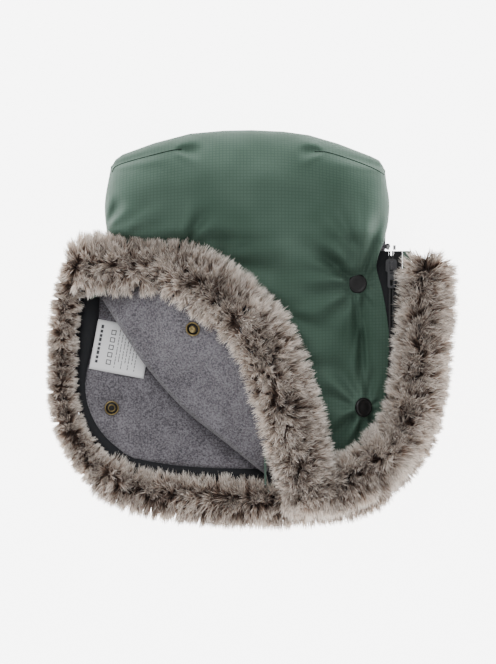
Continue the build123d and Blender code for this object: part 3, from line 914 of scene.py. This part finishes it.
def pile_tree() -> bpy.types.NodeTree:
    """Geometry nodes that grow fur strands on a core; made once and shared."""
    made = bpy.data.node_groups.get("pile_strands")
    if made:
        return made
    tree = bpy.data.node_groups.new("pile_strands", "GeometryNodeTree")
    face = tree.interface
    face.new_socket("Geometry", in_out="INPUT", socket_type="NodeSocketGeometry")
    for label, kind in (("Density", "NodeSocketFloat"), ("Length", "NodeSocketFloat"),
                        ("Seed", "NodeSocketInt"), ("Material", "NodeSocketMaterial")):
        face.new_socket(label, in_out="INPUT", socket_type=kind)
    face.new_socket("Lock", in_out="INPUT", socket_type="NodeSocketFloat")
    face.new_socket("Geometry", in_out="OUTPUT", socket_type="NodeSocketGeometry")
    inputs = add_node(tree, "NodeGroupInput").outputs

    def named(name: str, kind: str = "FLOAT") -> bpy.types.NodeSocket:
        """Reads a stored value."""
        return add_node(tree, "GeometryNodeInputNamedAttribute", {"Name": name},
                        data_type=kind).outputs[0]

    def draw(low: float, high: float, seed: int) -> bpy.types.NodeSocket:
        """Draws a random number for each strand."""
        return add_node(tree, "FunctionNodeRandomValue", {2: low, 3: high, "Seed": seed},
                        data_type="FLOAT").outputs[1]

    density = math_node(tree, "MULTIPLY", inputs["Density"], named("share"))
    points = add_node(tree, "GeometryNodeDistributePointsOnFaces",
                      {"Mesh": inputs["Geometry"], "Density": density, "Seed": inputs["Seed"]})
    place = add_node(tree, "GeometryNodeInputPosition").outputs[0]

    def vector(operation: str, first: object, second: object) -> bpy.types.NodeSocket:
        """Adds a vector math node."""
        values = {0: first, "Scale": second} if operation == "SCALE" else {0: first, 1: second}
        return add_node(tree, "ShaderNodeVectorMath", values, operation=operation).outputs[0]

    cell = add_node(tree, "ShaderNodeTexVoronoi",
                    {"Vector": place, "Scale": math_node(tree, "DIVIDE", 1.0, inputs["Lock"])})
    pull = vector("SCALE", vector("SUBTRACT", cell.outputs["Position"], place),
                  math_node(tree, "DIVIDE", 0.42, inputs["Lock"]))
    own = vector("SCALE", vector("SUBTRACT", cell.outputs["Color"], (0.5, 0.5, 0.5)), 0.75)
    wave = add_node(tree, "ShaderNodeTexNoise", {"Vector": place, "Scale": 28.0,
                                                 "Detail": 1.0}).outputs["Color"]
    wave = vector("SCALE", vector("SUBTRACT", wave, (0.5, 0.5, 0.5)), 1.5)
    loose = add_node(tree, "FunctionNodeRandomValue",
                     {0: (-0.13, -0.13, -0.13), 1: (0.13, 0.13, 0.13), "Seed": inputs["Seed"]},
                     data_type="FLOAT_VECTOR").outputs[0]
    lean = vector("ADD", vector("ADD", named("flow", "FLOAT_VECTOR"), vector("ADD", own, wave)),
                  vector("ADD", pull, loose))
    turn = add_node(tree, "FunctionNodeAlignRotationToVector", {"Vector": lean}, axis="Z")
    twist = add_node(tree, "FunctionNodeAxisAngleToRotation", {"Axis": (0, 0, 1),
                                                               "Angle": draw(-3.14, 3.14, 7)})
    rotation = add_node(tree, "FunctionNodeRotateRotation",
                        {0: turn.outputs[0], 1: twist.outputs[0]}, rotation_space="LOCAL")
    shade = add_node(tree, "ShaderNodeSeparateXYZ", {0: cell.outputs["Color"]})
    tuft = math_node(tree, "ADD", math_node(tree, "MULTIPLY", shade.outputs[0], 0.16), 0.9)
    size = math_node(tree, "MULTIPLY", inputs["Length"],
                     math_node(tree, "MULTIPLY", draw(0.62, 1.12, 11), tuft))
    size = math_node(tree, "MULTIPLY", size, named("reach"))
    scale = add_node(tree, "ShaderNodeCombineXYZ", {0: STRAND_WIDTH, 1: size, 2: size}).outputs[0]
    blade = add_node(tree, "GeometryNodeMeshGrid", {"Size X": 1.0, "Size Y": 1.0,
                                                    "Vertices X": 2, "Vertices Y": 3})
    spot = add_node(tree, "ShaderNodeSeparateXYZ", {0: place})
    rise = math_node(tree, "ADD", spot.outputs[1], 0.5)
    narrow = math_node(tree, "SUBTRACT", 1.0, math_node(tree, "POWER", rise, 2.2))
    shaped = add_node(tree, "ShaderNodeCombineXYZ",
                      {0: math_node(tree, "MULTIPLY", spot.outputs[0],
                                    math_node(tree, "ADD", narrow, 0.12)),
                       1: math_node(tree, "MULTIPLY", math_node(tree, "POWER", rise, 2.0), 0.16),
                       2: rise}).outputs[0]
    strand = add_node(tree, "GeometryNodeSetPosition", {"Geometry": blade.outputs[0],
                                                        "Position": shaped})
    height = add_node(tree, "GeometryNodeStoreNamedAttribute",
                      {"Geometry": strand.outputs[0], "Name": "up",
                       "Value": add_node(tree, "ShaderNodeSeparateXYZ",
                                         {0: place}).outputs[2]},
                      data_type="FLOAT", domain="POINT")
    copies = add_node(tree, "GeometryNodeInstanceOnPoints",
                      {"Points": points.outputs[0], "Instance": height.outputs[0],
                       "Rotation": rotation.outputs[0], "Scale": scale})
    patch = add_node(tree, "ShaderNodeTexNoise", {"Vector": place, "Scale": 95.0,
                                                  "Detail": 2.0}).outputs["Fac"]
    # painted shade: strands from the top of the core are darkened and those from its underside made
    # paler; the patch noise and random draw add random tone
    crest_shade = math_node(tree, "MULTIPLY", math_node(tree, "SUBTRACT", named("crest"), 0.5), 0.2)
    tinted = add_node(tree, "GeometryNodeStoreNamedAttribute",
                      {"Geometry": copies.outputs[0], "Name": "tint_and_shade",
                       "Value": math_node(tree, "ADD", crest_shade,
                                          math_node(tree, "ADD", patch,
                                                    draw(-0.22, 0.22, 19)))},
                      data_type="FLOAT", domain="INSTANCE")
    real = add_node(tree, "GeometryNodeRealizeInstances", {0: tinted.outputs[0]})
    parts = add_node(tree, "GeometryNodeJoinGeometry")
    tree.links.new(real.outputs[0], parts.inputs[0])
    tree.links.new(inputs["Geometry"], parts.inputs[0])
    nudge = math_node(tree, "MULTIPLY",
                      math_node(tree, "FRACT", math_node(
                          tree, "MULTIPLY", add_node(tree, "GeometryNodeInputIndex").outputs[0],
                          0.37)), 0.012)
    pair = add_node(tree, "ShaderNodeCombineXYZ",
                    {0: math_node(tree, "ADD", named("tint_and_shade"), nudge),
                     1: math_node(tree, "ADD", named("up"), nudge)}).outputs[0]
    coded = add_node(tree, "GeometryNodeStoreNamedAttribute",
                     {"Geometry": parts.outputs[0], "Name": "OFBake", "Value": pair},
                     data_type="FLOAT2", domain="CORNER")
    cleared = coded.outputs[0]
    for spare in ("flow", "share", "crest", "reach", "tint_and_shade", "up"):
        cleared = add_node(tree, "GeometryNodeRemoveAttribute",
                           {"Geometry": cleared, "Name": spare}).outputs[0]
    painted = add_node(tree, "GeometryNodeSetMaterial",
                       {"Geometry": cleared, "Material": inputs["Material"]})
    spot = add_node(tree, "ShaderNodeSeparateXYZ", {0: place})
    above = math_node(tree, "MAXIMUM", spot.outputs[2], LOWEST_TIP)
    kept = add_node(tree, "ShaderNodeCombineXYZ",
                    {0: spot.outputs[0], 1: spot.outputs[1], 2: above}).outputs[0]
    grounded = add_node(tree, "GeometryNodeSetPosition",
                        {"Geometry": painted.outputs[0], "Position": kept})
    output = add_node(tree, "NodeGroupOutput")
    tree.links.new(grounded.outputs[0], output.inputs[0])
    return tree


@dataclass(frozen=True)
class Turned:
    """A small round fitting turned about an axis, given by its profile."""

    name: str
    profile: tuple[Point, ...]  # radius, height in mm
    centre: tuple[float, float, float]
    finish: str
    body: Body
    tilt: float = 0.0  # radians, about the crease direction
    lean: tuple[float, float] = (0.0, 0.0)  # small tilt towards x and y
    sides: int = 48

    def build(self) -> bpy.types.Object:
        """Makes the fitting, fixed to its body."""
        up = np.array([-math.sin(self.tilt) * ACROSS[0] + self.lean[0],
                       -math.sin(self.tilt) * ACROSS[1] + self.lean[1], math.cos(self.tilt)])
        up /= np.linalg.norm(up)
        first = np.cross(up, [0, 1, 0.1])
        first /= np.linalg.norm(first)
        second = np.cross(up, first)
        ring = np.linspace(0, 2 * math.pi, self.sides, endpoint=False)
        verts = [np.array(self.centre) + up * h + r * (first * math.cos(t) + second * math.sin(t))
                 for r, h in self.profile for t in ring]
        n, levels = self.sides, len(self.profile)
        faces = [[j * n + i, j * n + (i + 1) % n, (j + 1) * n + (i + 1) % n, (j + 1) * n + i]
                 for j in range(levels - 1) for i in range(n)]
        faces.append(list(range(n))[::-1])
        faces.append([(levels - 1) * n + i for i in range(n)])
        obj = make_mesh(self.name, np.array(verts), faces, [self.finish])
        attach(obj, self.body.value)
        return obj


# profiles of the snap fittings: radius and height, mm
CAP = ((7.0, -1.5), (9.2, -1.2), (9.9, 0.2), (9.8, 1.4), (9.1, 2.4), (8.1, 2.8), (7.3, 2.5),
       (6.4, 2.2), (3.4, 2.4), (0.3, 2.5))
RING = ((6.5, 0.0), (7.2, 0.3), (7.3, 1.1), (6.8, 1.8), (6.1, 1.6), (5.8, 0.7), (5.6, 0.2))
WELL = ((6.2, 0.1), (5.9, 0.45), (0.3, 0.45))
NUB = ((3.6, 0.2), (3.5, 1.9), (2.9, 2.7), (1.9, 2.9), (1.5, 2.2), (0.2, 2.1))
LIP = ((3.9, 0.2), (3.9, 1.4), (3.3, 1.9), (2.8, 1.4), (2.6, 0.3))
BACK_SOCKETS = ((-154, -82.5), (96, 43), (99, -82), (-120, 43))


def snaps() -> None:
    """Makes every snap fitting that can be seen, in the place of its plain solid."""
    seats = [(x, y, z, (-slope, 0.0)) for x, y, z, slope in SNAP_SEATS]
    for n, (x, y, z, lean) in enumerate(seats):
        cap = Turned(f"front_cap_{n}", CAP, (x, y, z + 0.4), "black_cap", Body.FRONT,
                     lean=lean).build()
        if n == 0:
            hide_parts("front_caps")
    x, y, z = settle(bpy.data.objects["corner_cloth"], [(-70.5, -2.4)], 0.6)[0]
    studs = [("corner_stud", (x, y, z), TILT, Body.CORNER, NUB)]
    studs += [(f"back_socket_{n}", (x, y, 9.4), 0.0, Body.BACK, LIP)
              for n, (x, y) in enumerate(BACK_SOCKETS)]
    for name, spot, tilt, body, middle in studs:
        Turned(name + "_ring", RING, spot, "brass", body, tilt=tilt).build()
        # the well's near-black finish is painted shade in the recess
        Turned(name + "_well", WELL, spot, "well_shade_metal", body, tilt=tilt).build()
        part = Turned(name + "_middle", middle, spot, "brass", body, tilt=tilt).build()
        if name == "corner_stud":
            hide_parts("corner_stud")
        elif name == "back_socket_0":
            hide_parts("snap_sockets")


def care_label() -> None:
    """Makes the care label with plain generic marks, none of them letters."""
    angle = math.radians(-10.6)
    ax = np.array([math.cos(angle), math.sin(angle)])
    ay = np.array([-math.sin(angle), math.cos(angle)])
    middle = np.array([-144.5, -22.6])

    def at(s: float, t: float, z: float) -> list[float]:
        """A point on the label, s across and t up, both from its middle."""
        p = middle + ax * s + ay * t
        return [p[0], p[1], z + 0.5 * math.sin(s / 9)]

    cols, rows = 24, 16
    grid = np.array([[at(-28 + 56 * i / cols, -25.5 + 51 * j / rows, 13.2)
                      for i in range(cols + 1)] for j in range(rows + 1)])
    low = grid - [0, 0, 0.4]
    label = thick_grid("care_label_sheet", grid, low, ("label_satin", "label_satin"))
    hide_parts("care_label")
    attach(label, Body.BACK.value)
    verts: list[list[float]] = []
    faces: list[list[int]] = []

    def bar(s: float, t: float, width: float, height: float) -> None:
        """Adds one printed bar."""
        start = len(verts)
        for a, b in ((0, 0), (width, 0), (width, height), (0, height)):
            verts.append(at(s + a, t + b, 13.45))
        faces.append([start, start + 1, start + 2, start + 3])

    for k in range(9):  # one bold column of bars beside the sewn edge
        bar(-23.5, 17 - 4.4 * k, 2.6, 3.0 if k % 3 else 3.7)
    for k in range(5):  # hollow squares stand in for the care signs
        for s, t, width, height in ((0, 0, 0.8, 5), (4.2, 0, 0.8, 5), (0, 0, 5, 0.8),
                                    (0, 4.2, 5, 0.8)):
            bar(-12.5 + s, 12.5 - 7.6 * k + t, width, height)
    for column in range(7):
        for k in range(13 - 2 * (column % 2)):
            bar(-4.0 + 3.4 * column, 19.5 - 3.3 * k, 0.7, 2.7 if (k + column) % 3 else 1.7)
    marks = make_mesh("care_label_marks", np.array(verts), faces, ["label_ink"])
    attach(marks, Body.BACK.value)


FUR = (
    FurBand("corner_fur_upper", Body.CORNER,
            [(-190, 61, 38), (-150, 63, 47), (-105, 61, 55), (-67, 46, 64), (-36, 24, 68),
             (-14, 0, 69)],
            [15, 17, 18, 18], [9, 10, 10, 10], length=18.5, count=60000, seed=3,
            nodes=("corner_fur",), lean=(0.1, 0.35, 0.0), turns=True),
    FurBand("corner_fur_lower", Body.CORNER,
            [(-24, 16, 69), (-3, -12, 69), (11, -46, 67), (22, -78, 62), (31, -112, 56),
             (41, -146, 48), (54, -170, 42)],
            [18, 19, 19, 18, 14], [10, 10, 10, 10, 9], length=18.5, count=60000, seed=4,
            lean=(0.3, 0.2, 0.0), turns=True),
    FurBand("back_fur_left", Body.BACK,
            [(-184, 66, 20), (-194, 46, 16), (-201, 12, 14), (-204, -34, 14), (-203, -72, 14),
             (-195, -106, 14), (-176, -136, 14), (-154, -155, 14)],
            [5, 5, 5, 6, 9], [8, 8, 8, 9], length=12, count=44000, seed=5,
            nodes=("back_fur",), lock=4.5),
    FurBand("back_fur_hem", Body.BACK,
            [(-166, -146, 14), (-134, -163, 14), (-84, -173, 14), (-24, -177, 14),
             (36, -176, 14), (90, -168, 14), (122, -152, 13)],
            [8, 10, 11, 11], [10, 10, 10, 10], length=18, count=52000, seed=6,
            lean=(-0.15, -0.35, 0.0)),
    FurBand("back_fur_right", Body.BACK,
            [(108, -158, 13), (134, -142, 13), (154, -112, 13), (164, -76, 13), (167, -30, 13),
             (167, 16, 13), (162, 42, 12)],
            [9, 9, 9, 8], [9, 9, 9, 8], length=14, count=30000, seed=7),
    FurBand("front_fur_right", Body.FRONT,
            [(112, -134, 36), (134, -114, 38), (148, -84, 38), (156, -44, 38), (160, 0, 38),
             (162, 34, 37), (162, 62, 36)],
            [13, 14, 14, 14, 13], [12, 13, 13, 13, 12], length=19, count=60000, seed=8,
            nodes=("front_fur",), lean=(0.25, 0.3, 0.0), turns=True),
    FurBand("front_fur_hem", Body.FRONT,
            [(22, -166, 35), (56, -162, 36), (88, -153, 36), (114, -136, 36), (132, -116, 36)],
            [12, 14, 15, 14], [10, 11, 12, 12], length=19, count=40000, seed=9,
            lean=(0.15, -0.3, 0.0), turns=True),
)

CAD_FINISHES = {
    "black_tape": ("front_zip_tape", "corner_zip_tape", "back_fur_tape", "front_fur_tape",
                   "corner_fur_tape"),
    "black_coil": ("back_zip_coil", "front_zip_coil", "corner_zip_coil"),
    "green_backing": ("back_fur_backing", "front_fur_backing", "corner_fur_backing"),
    "black_cap": ("snap_posts", "corner_cap"),
    "brass": ("front_studs",),
    "stop_metal": ("top_stops",),
    "gunmetal": ("zip_slider", "zip_pull"),
    "grey_fleece": ("hole_bindings",),
}


def studio() -> None:
    """Makes the pale floor, soft lights and the camera straight above."""
    half, under = 6000, -0.2  # mm
    corners = [[x * half, y * half, under] for x, y in ((-1, -1), (1, -1), (1, 1), (-1, 1))]
    floor = make_mesh("floor", np.array(corners), [[0, 1, 2, 3]], [])
    paint, _, shader = Finish("floor_paint", "FFFFFF", 0.9, specular=0.0).base()
    shader.inputs["Emission Color"].default_value = (1, 1, 1, 1)
    shader.inputs["Emission Strength"].default_value = FLOOR_GLOW
    floor.data.materials.append(paint)
    floor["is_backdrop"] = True
    world = bpy.data.worlds.new("studio")
    world.use_nodes = True
    world.node_tree.nodes["Background"].inputs[0].default_value = (1, 1, 1, 1)
    world.node_tree.nodes["Background"].inputs[1].default_value = ROOM_LIGHT
    bpy.context.scene.world = world
    for name, place, size, power in (("key", (-0.7, 1.3, 1.7), 1.2, 30.0),
                                     ("fill", (1.4, -0.6, 1.6), 1.6, 10.0)):
        lamp = bpy.data.lights.new(name, "AREA")
        lamp.size = size
        lamp.energy = power
        obj = bpy.data.objects.new(name, lamp)
        obj.location = place
        obj.rotation_euler = (-Vector(place)).to_track_quat("-Z", "Y").to_euler()
        bpy.context.scene.collection.objects.link(obj)
    camera = bpy.data.cameras.new("camera")
    camera.lens = LENS
    camera.sensor_width = 36
    camera.clip_end = 50
    eye = bpy.data.objects.new("camera", camera)
    eye.location = EYE
    bpy.context.scene.collection.objects.link(eye)
    bpy.context.scene.camera = eye


def write_sizes(sizes: dict[str, list[list[float]]], label: str) -> None:
    """Records the shown object's bounds under a label."""
    low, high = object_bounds()
    sizes[label] = [list(low), list(high)]


def main() -> None:
    """Builds every piece of the look round the frame."""
    logging.basicConfig(level=logging.INFO)
    sizes: dict[str, list[list[float]]] = {}
    write_sizes(sizes, "frame")
    for name, finish in FINISHES.items():
        MATERIALS[name] = finish.build()
    for finish, nodes in CAD_FINISHES.items():
        for node in nodes:
            mesh = frame["nodes"][node].data
            mesh.materials.clear()
            mesh.materials.append(MATERIALS[finish])
    Muff().build()
    BackFlap().build()
    Corner().build()
    snaps()
    care_label()
    for band in FUR:
        band.build()
    for obj in bpy.context.scene.objects:
        if obj.type == "MESH":
            log.info("%s: %d faces", obj.name, len(obj.data.polygons))
    studio()
    write_sizes(sizes, "looks")


if __name__ == "__main__":
    main()
